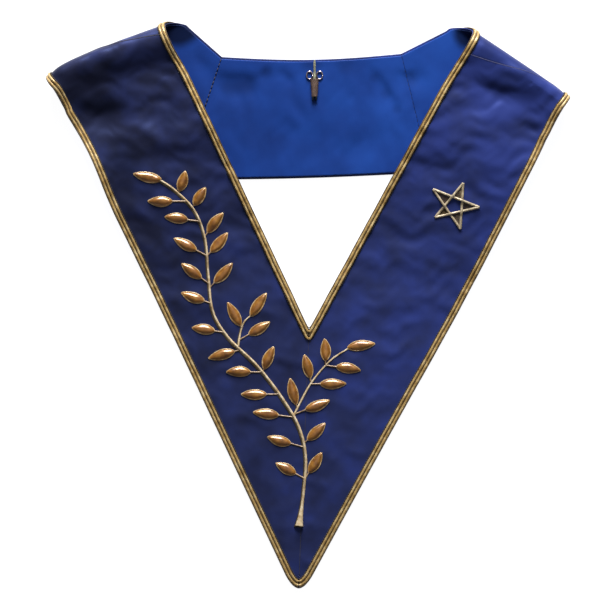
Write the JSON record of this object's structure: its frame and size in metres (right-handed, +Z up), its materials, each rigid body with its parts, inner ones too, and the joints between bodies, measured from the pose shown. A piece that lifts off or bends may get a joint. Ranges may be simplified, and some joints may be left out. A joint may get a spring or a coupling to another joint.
{
  "type": "masonic collar",
  "caption": "V-shaped satin ribbon collar edged with gold braid, embroidered with a leafy sprig and a star outline, lying face up with its back panel folded under.",
  "frame": {"origin": "under the middle of the collar's outline, on the floor that it lies on", "axes": "+X across the chest, to the right of the picture; +Y from the front point towards the neck; +Z up, out of the face of the arms"},
  "size_m": [0.4298, 0.4662, 0.0244],
  "materials": {
    "face_satin": "navy satin",
    "lining_satin": "royal blue satin",
    "gold_braid": "two-strand gold wire braid",
    "gold_embroidery": "old gold bullion wire",
    "hook_steel": "plated wire",
    "sewing_thread": "brown sewing thread"
  },
  "bodies": {
    "root": {"lining_back": "lining_satin", "lining_shoulder_left": "lining_satin", "lining_arm_left": "lining_satin", "lining_shoulder_right": "lining_satin", "lining_arm_right": "lining_satin", "face_back": "face_satin", "face_shoulder_left": "face_satin", "face_arm_left": "face_satin", "face_shoulder_right": "face_satin", "face_arm_right": "face_satin", "braid_neck_back": "gold_braid", "braid_neck_left": "gold_braid", "braid_neck_right": "gold_braid", "braid_rim_back": "gold_braid", "braid_rim_left": "gold_braid", "braid_rim_right": "gold_braid", "stem_main": "gold_embroidery", "stem_branch": "gold_embroidery", "stem_sprig": "gold_embroidery", "leaf_01": "gold_embroidery", "leaf_02": "gold_embroidery", "leaf_03": "gold_embroidery", "leaf_04": "gold_embroidery", "leaf_05": "gold_embroidery", "leaf_06": "gold_embroidery", "leaf_07": "gold_embroidery", "leaf_08": "gold_embroidery", "leaf_09": "gold_embroidery", "leaf_10": "gold_embroidery", "leaf_11": "gold_embroidery", "leaf_12": "gold_embroidery", "leaf_13": "gold_embroidery", "leaf_14": "gold_embroidery", "leaf_15": "gold_embroidery", "leaf_16": "gold_embroidery", "leaf_17": "gold_embroidery", "leaf_18": "gold_embroidery", "leaf_19": "gold_embroidery", "leaf_20": "gold_embroidery", "leaf_21": "gold_embroidery", "leaf_22": "gold_embroidery", "leaf_23": "gold_embroidery", "leaf_24": "gold_embroidery", "leaf_25": "gold_embroidery", "leaf_26": "gold_embroidery", "leaf_27": "gold_embroidery", "leaf_28": "gold_embroidery", "leaf_29": "gold_embroidery", "leaf_30": "gold_embroidery", "leaf_31": "gold_embroidery", "star": "gold_embroidery", "neck_hook": "hook_steel", "hook_thread": "sewing_thread"}
  },
  "joints": []
}
